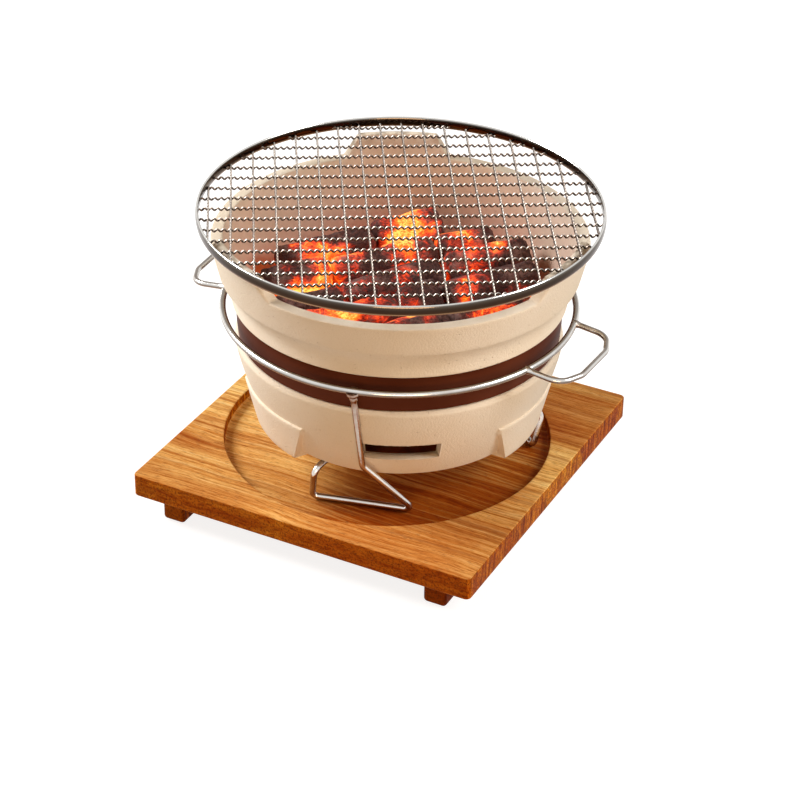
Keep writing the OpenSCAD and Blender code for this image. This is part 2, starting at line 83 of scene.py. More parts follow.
# hearth, outside
BASE_Z = 63.8
BASE_R = 101.5
FOOT_ROUND = 1.3
WALL_PULL = (118.2, BASE_Z + 34.0)  # where the two tangents of the lower wall's curve meet
LIP_R = 123.0
LIP_Z = 126.4
WAIST_R = 118.9
WAIST_Z = 128.8
SKIRT_R = 125.0
SKIRT_Z = 159.4
STEP_Z = 182.6
COLLAR_LOW_R = 133.5
COLLAR_TOP_R = 142.0
COLLAR_EDGE = 5.0           # the collar leans outwards up to this far under the crown
CROWN_Z = 223.3
NOTCH_Z = 206.8             # the rim's low stretches
NOTCH_HALF = 42.5
RAMP_DEG = 4.9
PAD_LOW_R = 108.5
PAD_LOW_Z = 60.0
PAD_TOP_R = 116.8
PAD_TOP_Z = 95.3
PAD_HALF_W = (26.2, 43.0)   # at the pad's foot and at its top
PAD_COLUMN = 18.0           # the column, in degrees, that is bent to a pad's side
PAD_INNER_R = 88.0          # nearer to the axis than this, columns stay upright
PAD_REACH = 44.0            # columns further off than this stay upright
SLOT_Z = (82.3, 96.5)
SLOT_HALF = 14.5            # in degrees
COLUMNS = 720

# hearth, inside
RIM_WALL = 8.0
CAVITY_R = 109.7            # at the waist
WALL_TILT = (COLLAR_TOP_R - RIM_WALL - CAVITY_R) / (CROWN_Z - WAIST_Z)
INNER_Z = 150.0             # where the outline of the rim ends and that of the inside starts
SEAT_Z = 108.8              # the ledge that carries the grate
SEAT_R = 102.7
SEAT_THICK = 5.0
BASE_WALL = 8.0
FLOOR_Z = 74.8

# grill
RIM_R = 148.2
RIM_Z = 227.3
RIM_HALF_W = 1.3
RIM_HALF_H = 4.0
MESH_Z = 225.35
MESH_PITCH = 16.5
MESH_COUNT = 18
MESH_TURN = 30.6
MESH_WIRE_R = 0.8
MESH_CLEAR = 0.3            # between crossing wires
MESH_STOP = 0.65            # how far the wires' ends stop short of the rim's middle line
WAVES_PER_CELL = 3.5


# ---- Mesh helpers. Points are numpy arrays in millimetres until an object is made.
def unit(v):
    return v / np.linalg.norm(v)


def polar(radius, degrees, z):
    a = math.radians(degrees)
    return np.array([radius * math.cos(a), radius * math.sin(a), z])


def smoothstep(a, b, x):
    """0 below a, 1 above b, and an S-curve between them."""
    t = np.clip((x - a) / (b - a), 0, 1)
    return t * t * (3 - 2 * t)


def placed(name, data):
    """A new object in the scene."""
    obj = bpy.data.objects.new(name, data)
    bpy.context.scene.collection.objects.link(obj)
    return obj


def make_object(name, points, faces, body, material, nodes, slot, sharp=35):
    """A smooth-shaded mesh piece that rides on a body and stands for CAD nodes."""
    mesh = bpy.data.meshes.new(name)
    mesh.from_pydata((np.asarray(points, float) * MM).tolist(), [], [tuple(map(int, f)) for f in faces])
    mesh.validate()
    mesh.shade_smooth()
    mesh.set_sharp_from_angle(angle=math.radians(sharp))
    mesh.materials.append(material)
    obj = placed(name, mesh)
    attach(obj, body)
    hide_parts(*nodes)
    return obj


def grid_faces(rows, columns, close_rows=False):
    """Quads between the points of a grid that is stored row by row and closed round its columns."""
    faces = []
    for i in range(rows if close_rows else rows - 1):
        a, b = i * columns, ((i + 1) % rows) * columns
        for k in range(columns):
            k2 = (k + 1) % columns
            faces.append((a + k, a + k2, b + k2, b + k))
    return faces


def end_caps(rows, columns):
    """One face on the first row of a grid and one on its last row."""
    return [tuple(reversed(range(columns))), tuple(range((rows - 1) * columns, rows * columns))]


def flipped(faces):
    return [tuple(reversed(f)) for f in faces]


def lathe(profile, count):
    """Points and faces of a closed (radius, z) outline turned about the axis."""
    angles = np.arange(count) * 2 * math.pi / count
    ring = np.stack([np.cos(angles), np.sin(angles)], 1)
    points = [np.column_stack([ring * r, np.full(count, z)]) for r, z in profile]
    return np.vstack(points), flipped(grid_faces(len(profile), count, close_rows=True))


def arc(centre, radius, start, end, steps):
    """Points of an arc in the (radius, z) plane, with angles in degrees."""
    angles = np.radians(np.linspace(start, end, steps))
    return [(centre[0] + radius * math.cos(a), centre[1] + radius * math.sin(a)) for a in angles]


def along(a, b, steps, ends=False):
    """Points from one point to another. The last one is there only with ends."""
    return [tuple(np.array(a) + (np.array(b) - np.array(a)) * t)
            for t in np.linspace(0, 1, steps + 1)[: None if ends else -1]]


def corner_arc(before, corner, after, radius, steps):
    """Points of the bend that takes a corner's place."""
    u, v = unit(corner - before), unit(after - corner)
    half = math.acos(np.clip(u @ v, -1, 1)) / 2
    inward, forward = unit(v - u), unit(u + v)
    centre = corner + inward * radius / math.cos(half)
    angles = [half * (2 * k / steps - 1) for k in range(steps + 1)]
    return [centre + radius * (forward * math.sin(a) - inward * math.cos(a)) for a in angles]


def bent(corners, radii, steps):
    """Centre line through corner points, with a bend of its own radius at each inner corner."""
    corners = [np.array(c, float) for c in corners]
    line = [corners[0]]
    for before, corner, after, radius in zip(corners, corners[1:], corners[2:], radii):
        line += corner_arc(before, corner, after, radius, steps)
    line.append(corners[-1])
    return np.array(line)


def rounded_outline(corners, steps=3):
    """A (radius, z) outline with rounded corners. A corner is (radius, z, rounding)."""
    places = [np.array(c[:2]) for c in corners]
    points = []
    for i, (here, corner) in enumerate(zip(places, corners)):
        rounding = corner[2]
        if rounding == 0:
            points.append(tuple(here))
            continue
        made = corner_arc(places[i - 1], here, places[i + 1], rounding, steps)
        points += [tuple(p) for p in made]
    return points


def densified(points, step):
    """The same outline with no stretch longer than one and a half steps."""
    made = []
    for a, b in zip(points, points[1:]):
        pieces = max(1, int(math.dist(a, b) / step + 0.5))
        made += along(a, b, pieces)
    return made + [points[-1]]


def distance_along(line):
    """Distance of each point from the line's start, measured along it."""
    return np.concatenate([[0], np.cumsum(np.linalg.norm(np.diff(line, axis=0), axis=1))])


def resample(line, step):
    """The same line with a point about every step."""
    run = distance_along(line)
    at = np.linspace(0, run[-1], max(2, int(run[-1] / step) + 1))
    return np.stack([np.interp(at, run, line[:, k]) for k in range(3)], 1)


def tube(line, radii, sides, side):
    """Points and faces of a wire along a line, with its own radius at each point."""
    steps = np.diff(line, axis=0)
    steps = steps / np.linalg.norm(steps, axis=1)[:, None]
    heading = np.vstack([steps[:1], steps[:-1] + steps[1:], steps[-1:]])
    heading = heading / np.linalg.norm(heading, axis=1)[:, None]
    angles = np.arange(sides) * 2 * math.pi / sides
    c, s = np.cos(angles)[:, None], np.sin(angles)[:, None]
    points = []
    for place, radius, forward in zip(line, radii, heading):
        side = unit(side - (side @ forward) * forward)
        points.append(place + radius * (c * side + s * np.cross(forward, side)))
    return np.vstack(points), grid_faces(len(line), sides) + end_caps(len(line), sides)


def joined(parts):
    """Several (points, faces) as one."""
    points, faces, base = [], [], 0
    for p, f in parts:
        points.append(p)
        faces += [tuple(i + base for i in q) for q in f]
        base += len(p)
    return np.vstack(points), faces


def turned(points, degrees):
    """The points turned about the upright axis."""
    a = math.radians(degrees)
    m = np.array([[math.cos(a), -math.sin(a), 0], [math.sin(a), math.cos(a), 0], [0, 0, 1]])
    return points @ m.T


def noise_at(points, scale, seed=0):
    """Smooth noise from -1 to 1 at each point. scale is the size of its features."""
    shift = Vector((seed * 7.3, seed * 3.1, seed * 5.7))
    return np.array([noise.noise(Vector(p / scale) + shift) for p in points])


# ---- Materials
class Tree:
    """Short forms for building the nodes of a material or a world."""

    def __init__(self, owner):
        self.owner = owner
        owner.use_nodes = True
        self.tree = owner.node_tree

    def link(self, value, socket):
        if isinstance(value, bpy.types.NodeSocket):
            self.tree.links.new(value, socket)
        else:
            socket.default_value = value

    def node(self, kind, inputs=None, **props):
        made = self.tree.nodes.new(kind)
        for key, value in props.items():
            setattr(made, key, value)
        for key, value in (inputs or {}).items():
            self.link(value, made.inputs[key])
        return made

    def set(self, **inputs):
        """Sets or links inputs of the Principled shader."""
        for key, value in inputs.items():
            self.link(value, self.tree.nodes["Principled BSDF"].inputs[key.replace("_", " ")])

    def position(self):
        return self.node("ShaderNodeTexCoord").outputs["Object"]

    def normal(self):
        """The surface's direction, as X, Y and Z."""
        return self.split(self.node("ShaderNodeNewGeometry").outputs["Normal"])

    def mapped(self, vector, scale=(1, 1, 1), location=(0, 0, 0)):
        made = self.node("ShaderNodeMapping", {"Vector": vector, "Scale": scale, "Location": location})
        return made.outputs["Vector"]

    def noise(self, vector, scale, detail=3.0, rough=0.5):
        made = self.node("ShaderNodeTexNoise", {"Vector": vector, "Scale": scale, "Detail": detail,
                                                "Roughness": rough})
        return made.outputs["Fac"]

    def voronoi(self, vector, scale, feature="F1"):
        made = self.node("ShaderNodeTexVoronoi", {"Vector": vector, "Scale": scale}, feature=feature)
        return made.outputs["Distance"]

    def math(self, operation, a, b=0.0, clamp=False):
        made = self.node("ShaderNodeMath", operation=operation, use_clamp=clamp)
        self.link(a, made.inputs[0])
        self.link(b, made.inputs[1])
        return made.outputs[0]

    def add(self, a, b):
        return self.math("ADD", a, b)

    def sub(self, a, b):
        return self.math("SUBTRACT", a, b)

    def mul(self, a, b):
        return self.math("MULTIPLY", a, b)

    def length(self, a, b):
        """Length of the vector (a, b)."""
        return self.math("SQRT", self.add(self.mul(a, a), self.mul(b, b)))

    def remap(self, value, low, high, to_low=0.0, to_high=1.0, smooth=False):
        """Takes low..high to to_low..to_high and holds the end values beyond them."""
        made = self.node("ShaderNodeMapRange", {"Value": value, "From Min": low, "From Max": high,
                                                "To Min": to_low, "To Max": to_high},
                         interpolation_type="SMOOTHSTEP" if smooth else "LINEAR")
        return made.outputs["Result"]

    def ramp(self, value, stops, interpolation="LINEAR"):
        made = self.node("ShaderNodeValToRGB", {"Fac": value})
        made.color_ramp.interpolation = interpolation
        items = made.color_ramp.elements
        while len(items) < len(stops):
            items.new(0.5)
        for item, (at, colour) in zip(items, stops):
            item.position = at
            item.color = (*colour, 1)
        return made.outputs["Color"]

    def mix(self, factor, a, b, blend="MIX"):
        made = self.node("ShaderNodeMix", data_type="RGBA", blend_type=blend)
        self.link(factor, made.inputs["Factor"])
        for socket, value in ((made.inputs[6], a), (made.inputs[7], b)):
            self.link((*value, 1) if isinstance(value, tuple) else value, socket)
        return made.outputs[2]

    def bump(self, height, distance, strength):
        made = self.node("ShaderNodeBump", {"Height": height, "Distance": distance, "Strength": strength})
        return made.outputs["Normal"]

    def split(self, vector):
        return self.node("ShaderNodeSeparateXYZ", {"Vector": vector}).outputs

    def combine(self, x, y, z):
        return self.node("ShaderNodeCombineXYZ", {"X": x, "Y": y, "Z": z}).outputs["Vector"]


def new_material(name):
    return Tree(bpy.data.materials.new(name))


def rgb(*values):
    """A colour from sRGB values of 0 to 255."""
    shares = [v / 255 for v in values]
    return tuple(c / 12.92 if c <= 0.04045 else ((c + 0.055) / 1.055) ** 2.4 for c in shares)


def painted_shadow_mask(t, x, y, cloud, fibre, middle, reach, way):
    """1 on the side of the recess that gets a painted shadow. way is that side's direction."""
    a = math.radians(way)
    from_x, from_y = t.sub(x, middle[0]), t.sub(y, middle[1])
    ahead = t.add(t.mul(from_x, math.cos(a)), t.mul(from_y, math.sin(a)))
    painted_shadow = t.mul(t.remap(t.add(ahead, t.mul(cloud, 60.0)), 35.0, 120.0, smooth=True),
                t.remap(t.length(from_x, from_y), reach - 0.6, reach + 0.2, 1.0, 0.0))
    return t.math("MULTIPLY", painted_shadow, t.remap(fibre, 0.40, 0.60, 1.30, 0.80), clamp=True)


def side_colour(t, colour, side_shade_tint, p, across):
    """The colour with a painted-shade tint and dark dots on faces that look sideways, and end grain along
    X.
    """
    x, _, z = t.split(p)[:3]
    facing = t.normal()
    side = t.remap(t.math("ABSOLUTE", facing[2]), 0.3, 0.7, 1.0, 0.0, smooth=True)
    end = t.remap(t.math("ABSOLUTE", facing[0]), 0.3, 0.7, smooth=True)
    # Painted shade: faces that look sideways are multiplied by the side tint
    colour = t.mix(side, colour, side_shade_tint, "MULTIPLY")
    end_grain = t.noise(t.combine(t.mul(x, 0.02), across, t.mul(z, 0.10)), 0.30, 5.0, 0.68)
    end_tint = t.ramp(t.remap(end_grain, 0.36, 0.64), END_TINTS)
    colour = t.mix(t.mul(side, end), colour, end_tint, "MULTIPLY")
    dots = t.remap(t.noise(p, 0.60, 2.0, 0.7), 0.50, 0.62, 0.0, 0.70)
    return t.mix(t.mul(side, dots), colour, rgb(84, 38, 9))


def wood_material(name, centre, strips, tones, side_shade_tint, grain_seed=0.0, recess=None):
    """Oiled wood as a solid texture: grain along X, growth rings about X, strips side by side."""
    t = new_material(name)
    p = t.mapped(t.position(), scale=(1000, 1000, 1000), location=(-centre[0], -centre[1], 0))
    x, y, z = t.split(p)[:3]
    strip = t.split(t.ramp(t.remap(y, -BOARD_SIDE / 2, BOARD_SIDE / 2), strips, "CONSTANT"))
    tone, seed = strip[0], t.add(strip[1], grain_seed)
    sway = t.noise(t.combine(t.mul(x, 0.007), t.mul(y, 0.012), seed), 1.0, 2.0)
    ring_y = t.add(t.sub(y, t.mul(seed, 210.0)), t.mul(sway, 34.0))
    ring_z = t.add(z, t.mul(seed, 66.0))
    rings = t.noise(t.combine(t.length(ring_y, ring_z), seed, t.mul(x, 0.004)), 0.17, 4.0, 0.6)
    across = t.add(t.add(y, t.mul(seed, 900.0)), t.mul(sway, 16.0))
    up = t.mul(z, 0.3)

    def grain(stretch, scale, detail, rough):
        """Noise that is drawn out along X."""
        return t.noise(t.combine(t.mul(x, stretch), across, up), scale, detail, rough)

    fibre = grain(0.011, 0.38, 4.0, 0.60)
    fine = grain(0.07, 1.5, 4.0, 0.70)
    depth = t.add(t.add(t.mul(rings, 0.36), t.mul(fibre, 0.36)), t.mul(fine, 0.28))
    colour = t.ramp(t.remap(depth, 0.38, 0.62), list(zip((0.0, 0.30, 0.60, 1.0), tones)))
    colour = t.mix(t.remap(tone, 0.0, 1.0, 1.0, 0.0), colour, rgb(210, 156, 104), "MULTIPLY")
    streak = t.remap(grain(0.006, 0.15, 3.0, 0.60), 0.50, 0.68, 0.0, 0.55, smooth=True)
    colour = t.mix(streak, colour, rgb(160, 82, 22))
    line = t.remap(grain(0.012, 0.75, 3.0, 0.7), 0.55, 0.68, 0.0, 0.42)
    colour = t.mix(line, colour, rgb(134, 60, 14))
    colour = t.mix(t.remap(fine, 0.36, 0.50, 0.45, 0.0), colour, rgb(140, 74, 24))
    pores = t.voronoi(t.combine(t.mul(x, 0.13), across, z), 0.80)
    pore = t.remap(pores, 0.10, 0.26, 1.0, 0.0, smooth=True)
    colour = t.mix(t.mul(pore, 0.50), colour, rgb(100, 48, 14))
    cloud = t.noise(t.mapped(p, scale=(0.4, 1, 1)), 0.020, 2.0)
    colour = t.mix(t.remap(cloud, 0.42, 0.64, 0.0, 0.60), colour, rgb(206, 150, 96), "MULTIPLY")
    # Painted shadow: one side of the recess floor is darkened and browned
    if recess:
        painted_shadow = painted_shadow_mask(t, x, y, cloud, fibre, *recess)
        colour = t.mix(painted_shadow, colour, (0.52, 0.26, 0.09), "MULTIPLY")
    colour = side_colour(t, colour, side_shade_tint, p, across)
    height = t.sub(t.mul(fibre, 0.5), pore)
    t.set(Base_Color=colour, Roughness=t.remap(fine, 0.2, 0.8, 0.56, 0.40),
          Specular_IOR_Level=0.03, Normal=t.bump(height, 0.00022, 0.8))
    return t.owner


def chamber_soot_and_shade(t, radius, z):
    """1 on the wall and the floor of the ash chamber, below the grate's ledge, where soot and painted
    shade go.
    """
    below = t.remap(z, (SEAT_Z - 0.8) * MM, (SEAT_Z + 3.2) * MM, 1.0, 0.0)
    above = t.remap(z, (FLOOR_Z - 4.8) * MM, (FLOOR_Z - 0.3) * MM, 0.0, 1.0)
    return t.mul(t.remap(radius, 100.0 * MM, 103.0 * MM, 1.0, 0.0), t.mul(below, above))


def bowl_stain_and_glow(t, radius, z):
    """How far the bowl's inner wall is coloured, partly as heat stain and partly as painted glow from the
    coals: most at the ledge and least at the rim.
    """
    slope, reach = 0.235, (81.5 * MM, 83.5 * MM)
    within = t.remap(t.sub(radius, t.mul(z, slope)), *reach, 1.0, 0.0)
    fading = t.mul(within, t.remap(z, 108.0 * MM, 205.0 * MM, 0.85, 0.10))
    return t.mul(fading, t.remap(z, 106.0 * MM, 108.0 * MM, 0.0, 1.0))


def stoneware_material(name, pale, shade, scorch=False):
    """Matt stoneware with a pebbled skin, small pits and faint drifts of colour."""
    t = new_material(name)
    p = t.position()
    drift = t.noise(p, 14.0, 3.0)
    speck = t.noise(p, 900.0, 2.0, 0.6)
    colour = t.mix(t.remap(drift, 0.35, 0.70), pale, shade)
    colour = t.mix(t.remap(speck, 0.60, 0.76, 0.0, 0.22), colour, rgb(186, 146, 104))
    pit = t.remap(t.voronoi(p, 330.0), 0.05, 0.22, 1.0, 0.0, smooth=True)
    pit = t.mul(pit, t.remap(t.noise(p, 160.0, 1.0), 0.55, 0.66))
    colour = t.mix(t.mul(pit, 0.16), colour, rgb(150, 104, 66))
    if scorch:
        colour = t.mix(t.remap(t.noise(p, 26.0, 4.0), 0.40, 0.62, 0.15, 0.85), colour, rgb(84, 52, 36))
    else:
        x, y, z = t.split(p)[:3]
        radius = t.length(x, y)
        # The ash chamber's colour is partly soot and partly painted shade
        patch = t.remap(t.noise(p, 34.0, 4.0, 0.6), 0.38, 0.62)
        scorched = t.mix(patch, rgb(186, 104, 48), rgb(132, 92, 68))
        colour = t.mix(chamber_soot_and_shade(t, radius, z), colour, scorched)
        # The bowl's inner wall: partly heat stain, partly painted glow from the coals
        colour = t.mix(bowl_stain_and_glow(t, radius, z), colour, rgb(206, 128, 92))
    pebble = t.noise(p, 640.0, 3.0, 0.6)
    height = t.sub(t.mul(pebble, 0.8), t.mul(pit, 1.6))
    t.set(Base_Color=colour, Roughness=t.remap(speck, 0.2, 0.8, 0.82, 0.62), Specular_IOR_Level=0.14,
          Normal=t.bump(height, 0.0010, 0.7))
    return t.owner


def glaze_material(name):
    """Dark brown band: smooth, with a soft sheen and slight unevenness."""
    t = new_material(name)
    p = t.position()
    drift = t.noise(p, 18.0, 3.0)
    colour = t.mix(t.remap(drift, 0.35, 0.70), rgb(96, 48, 30), rgb(80, 36, 20))
    ripple = t.noise(t.mapped(p, scale=(1, 1, 5)), 30.0, 2.0)
    height = t.add(ripple, t.mul(t.noise(p, 700.0, 2.0), 0.05))
    t.set(Base_Color=colour, Roughness=t.remap(drift, 0.3, 0.7, 0.40, 0.48), Specular_IOR_Level=0.03,
          Normal=t.bump(height, 0.0012, 0.25))
    return t.owner


def steel_material(name, colour, rough, painted_reflection, stain=0.0, scorched=False):
    """Polished steel wire with drawing marks, faint heat stains and a painted reflection of dark
    surroundings.
    """
    t = new_material(name)
    p = t.position()
    marks = t.noise(p, 520.0, 4.0, 0.6)
    cloud = t.noise(p, 38.0, 3.0)
    base = t.mix(t.remap(cloud, 0.35, 0.70), colour, tuple(c * 0.86 for c in colour))
    if stain:
        base = t.mix(t.remap(t.noise(p, 55.0, 4.0), 0.52, 0.70, 0.0, stain), base, rgb(150, 96, 52))
    if scorched:
        near_weld = t.remap(t.split(p)[2], 112.0 * MM, 146.0 * MM, 0.0, 0.80)
        patches = t.remap(t.noise(p, 170.0, 3.0), 0.36, 0.60, 0.35, 1.0)
        base = t.mix(t.mul(near_weld, patches), base, rgb(142, 84, 44))
    # Painted reflection: the colour is multiplied by a tint chosen by which way the surface faces
    base = t.mix(1.0, base, t.ramp(t.remap(t.normal()[2], -1.0, 1.0), painted_reflection), "MULTIPLY")
    t.set(Base_Color=base, Metallic=1.0, Roughness=t.remap(marks, 0.25, 0.75, rough * 0.7, rough * 1.5),
          Normal=t.bump(marks, 0.00012, 0.35))
    return t.owner


def charcoal_material(name):
    """Burning charcoal: dark fissured wood with ash on it and a glow in patches and cracks."""
    t = new_material(name)
    p = t.position()
    cell = t.voronoi(t.mix(0.06, p, t.noise(p, 40.0, 3.0)), 62.0, "DISTANCE_TO_EDGE")
    crack = t.remap(cell, 0.0, 0.075, 1.0, 0.0, smooth=True)
    grain = t.noise(t.mapped(p, scale=(1, 1, 3)), 420.0, 4.0, 0.65)
    hot = t.remap(t.noise(p, 24.0, 3.0, 0.55), 0.40, 0.64)
    heat = t.add(t.mul(hot, 0.92), t.mul(crack, 0.14))
    heat = t.mul(heat, t.remap(grain, 0.30, 0.62, 0.74, 1.10))
    skin = t.mix(t.remap(grain, 0.35, 0.70), rgb(44, 20, 16), rgb(104, 60, 52))
    ash = t.remap(t.noise(p, 60.0, 4.0, 0.7), 0.50, 0.70, 0.0, 0.70)
    skin = t.mix(ash, skin, rgb(172, 132, 122))
    glow = t.ramp(heat, [(0.22, (0, 0, 0)), (0.40, rgb(120, 14, 2)), (0.62, rgb(240, 58, 8)),
                         (0.80, rgb(255, 120, 24)), (1.0, rgb(255, 190, 84))])
    height = t.sub(t.mul(grain, 0.5), crack)
    t.set(Base_Color=skin, Roughness=0.85, Emission_Color=glow,
          Emission_Strength=t.remap(heat, 0.20, 1.0, 0.2, 1.8), Normal=t.bump(height, 0.0012, 0.7))
    return t.owner


# Strips of the board from its -Y edge to its +Y edge: (where it starts, (lightness, seed, 0))
STRIPS = [(0.0, (0.55, 0.31, 0)), (0.25, (0.95, 0.62, 0)), (0.466, (1.0, 0.15, 0)),
          (0.70, (0.35, 0.83, 0)), (0.939, (0.75, 0.45, 0))]
ONE_STRIP = [(0.0, (0.25, 0.4, 0)), (1.0, (0.25, 0.4, 0))]
WOOD_TONES = [rgb(182, 112, 44), rgb(226, 166, 86), rgb(246, 202, 122), rgb(255, 228, 160)]
DARK_TONES = [rgb(120, 62, 24), rgb(152, 86, 36), rgb(176, 106, 48), rgb(196, 128, 66)]
END_TINTS = [(0.0, (0.46, 0.32, 0.20)), (0.5, (0.95, 0.86, 0.74)), (1.0, (1.4, 1.5, 1.6))]
# The recess floor has a painted shadow in front of the air slot and to the slot's right
PAINTED_SHADOW_DIR = -30.0
RECESS_PAINTED_SHADOW = ((RECESS_CENTRE[0] - BOARD_CENTRE[0], RECESS_CENTRE[1] - BOARD_CENTRE[1]), RECESS_R, PAINTED_SHADOW_DIR)
# Painted reflection on the steel, by how far its surface faces upwards: 0 is downwards, 0.5 level and 1
# upwards
WIRE_PAINTED_REFLECTION = [(0.0, (0.46, 0.30, 0.20)), (0.36, (0.34, 0.22, 0.15)), (0.50, (0.20, 0.15, 0.12)),
              (0.62, (0.55, 0.52, 0.50)), (0.74, (0.96, 0.95, 0.93)), (0.90, (0.90, 0.88, 0.85)),
              (0.97, (0.35, 0.30, 0.26))]
RIM_PAINTED_REFLECTION = [(0.0, (0.30, 0.16, 0.09)), (0.33, (0.42, 0.24, 0.13)), (0.42, (0.06, 0.028, 0.014)),
             (0.50, (0.05, 0.030, 0.020)), (0.60, (0.09, 0.07, 0.055)), (0.70, (0.26, 0.24, 0.22)),
             (0.80, (1.0, 0.99, 0.97)), (0.94, (0.85, 0.83, 0.80))]
LEG_PAINTED_REFLECTION = [(0.0, (0.46, 0.30, 0.20)), (0.34, (0.50, 0.36, 0.27)), (0.45, (0.74, 0.66, 0.60)),
             (0.62, (0.92, 0.88, 0.84)), (0.80, (1.0, 0.99, 0.97)), (0.97, (0.45, 0.38, 0.33))]
NET_PAINTED_REFLECTION = [(0.0, (0.10, 0.06, 0.04)), (0.55, (0.10, 0.065, 0.045)), (0.78, (0.24, 0.20, 0.175)),
             (0.93, (0.62, 0.59, 0.56))]
STEEL = (0.80, 0.79, 0.77)

board_wood = wood_material("board_wood", BOARD_CENTRE, STRIPS, WOOD_TONES, (0.80, 0.49, 0.11), 0.0, RECESS_PAINTED_SHADOW)
runner_wood = wood_material("runner_wood", BOARD_CENTRE, ONE_STRIP, DARK_TONES, (1.12, 1.15, 0.32), 0.7)
cream = stoneware_material("cream_stoneware", rgb(242, 230, 212), rgb(236, 220, 196))
clay = stoneware_material("grate_clay", rgb(190, 150, 116), rgb(150, 110, 82), scorch=True)
brown = glaze_material("brown_glaze")
bright_steel = steel_material("stand_steel", STEEL, 0.15, WIRE_PAINTED_REFLECTION, 0.16)
leg_steel = steel_material("leg_steel", STEEL, 0.17, LEG_PAINTED_REFLECTION, 0.22, scorched=True)
rim_steel = steel_material("rim_steel", STEEL, 0.13, RIM_PAINTED_REFLECTION)
mesh_steel = steel_material("mesh_steel", (0.72, 0.68, 0.64), 0.26, NET_PAINTED_REFLECTION, 0.30)
screw_steel = steel_material("screw_steel", (0.52, 0.50, 0.48), 0.30, WIRE_PAINTED_REFLECTION)
charcoal = charcoal_material("charcoal")


# ---- Tray: a board with a round recess, on two runners
def rounded_square(half, corner, per_side=60, per_corner=10):
    """Outline points of a square with rounded corners, anticlockwise."""
    points = []
    inner = half - corner
    middles = [(inner, inner), (-inner, inner), (-inner, -inner), (inner, -inner)]
    for k, middle in enumerate(middles):
        turn = arc(middle, corner, 90 * k, 90 * (k + 1), per_corner + 1)
        after = arc(middles[(k + 1) % 4], corner, 90 * (k + 1), 90 * (k + 1), 1)[0]
        points += turn + along(turn[-1], after, per_side)[1:]
    return np.array(points)


def tray_board():
    """The board as rings about the recess's centre, from the recess floor to the underside."""
    low, high = BOARD_Z
    half = BOARD_SIDE / 2
    centre = np.array(RECESS_CENTRE)
    outline = rounded_square(half, BOARD_CORNER) + np.array(BOARD_CENTRE) - centre
    heading = outline / np.linalg.norm(outline, axis=1)[:, None]
    count = len(outline)
    floor_round, lip_round = 2.0, 1.0
    flat_r = RECESS_R + lip_round + 0.4
    rings = []

    def circle(radius, z):
        rings.append(np.column_stack([centre + heading * radius, np.full(count, z)]))

    def square(inset, z, share=1.0):
        """The board's outline, or a ring part of the way to it from the recess's lip."""
        corner = max(BOARD_CORNER - inset * 0.4, 1.5)
        shape = rounded_square(half - inset, corner) + np.array(BOARD_CENTRE)
        start = centre + heading * flat_r
        rings.append(np.column_stack([start + (shape - start) * share, np.full(count, z)]))

    circle(1.0, RECESS_Z)
    for radius in np.linspace(12, RECESS_R - 2.5, 12):
        circle(radius, RECESS_Z)
    for r, z in arc((RECESS_R - floor_round, RECESS_Z + floor_round), floor_round, -90, 0, 6):
        circle(r, z)
    for r, z in arc((RECESS_R + lip_round, high - lip_round), lip_round, 180, 90, 5):
        circle(r, z)
    for share in (0.1, 0.35, 0.65, 0.9):
        square(BOARD_EDGE, high, share)
    for r, z in arc((0, high - BOARD_EDGE), BOARD_EDGE, 90, 0, 7):
        square(BOARD_EDGE - r, z)
    for z in (high - 6, (low + high) / 2, low + 6):
        square(0, z)
    for r, z in arc((0, low + BOARD_EDGE), BOARD_EDGE, 0, -90, 6):
        square(BOARD_EDGE - r, z)
    for share in (0.6, 0.25):
        square(BOARD_EDGE, low, share)
    circle(1.0, low)
    return np.vstack(rings), flipped(grid_faces(len(rings), count) + end_caps(len(rings), count))


def rounded_bar(width, height, length, edge):
    """A bar along Y with rounded long edges and eased ends, standing on Z = 0."""
    right, left = width / 2 - edge, edge - width / 2
    high, low = height - edge, edge
    section = []
    for k, middle in enumerate([(right, high), (left, high), (left, low), (right, low)]):
        section += arc(middle, edge, 90 * k, 90 * (k + 1), 6)
    section = np.array(section)
    middle = np.array([0, height / 2])
    ends = [(edge - r, y - length / 2) for r, y in arc((0, edge), edge, -90, 0, 5)]
    rings = ends + [(inset, -y) for inset, y in reversed(ends)]
    points = []
    for inset, y in rings:
        shape = middle + (section - middle) * (1 - inset / np.array([width / 2, height / 2]))
        points.append(np.column_stack([shape[:, 0], np.full(len(shape), y), shape[:, 1]]))
    return np.vstack(points), grid_faces(len(rings), len(section)) + end_caps(len(rings), len(section))


make_object("board", *tray_board(), "tray", board_wood, ["tray_board"], "board_wood", 50)
for side, name in ((-1, "left"), (1, "right")):
    points, faces = rounded_bar(RUNNER_W, BOARD_Z[0], RUNNER_LEN, RUNNER_EDGE)
    points = points + np.array([BOARD_CENTRE[0] + side * RUNNER_OFF, BOARD_CENTRE[1], 0])
    make_object("runner_" + name, points, faces, "tray", runner_wood, ["tray_runner_" + name],
                "runner_wood", 50)


# ---- Stand: ring, three bent legs, hub weld and two loop handles, all of steel wire
def leg_line():
    """Centre line of a leg: down from the ring, round the foot and inwards under the hearth."""
    corners = [polar(RING_R, 0, RING_Z), polar(*KNEE), polar(*HEEL, FOOT_Z), polar(*TOE, FOOT_Z),
               polar(*RISER, CARRY_Z), polar(4.0, RISER[1], CARRY_Z)]
    return bent(corners, LEG_BENDS, 12)


def leg():
    """A leg whose wire swells at its top into the weld under the ring."""
    line = resample(leg_line(), 1.2)
    run = distance_along(line)
    swell = 1.5 * (1 - smoothstep(2.6, 4.6, run)) + 0.95 * (1 - smoothstep(7.0, 10.0, run))
    lumpy = 0.22 * noise_at(line, 2.0, 3) * (1 - smoothstep(7.0, 14.0, run))
    wander = 0.03 * noise_at(line, 9.0, 5)
    return tube(line, WIRE_R + swell + lumpy + wander, 20, np.array([0.0, 1.0, 0.0]))


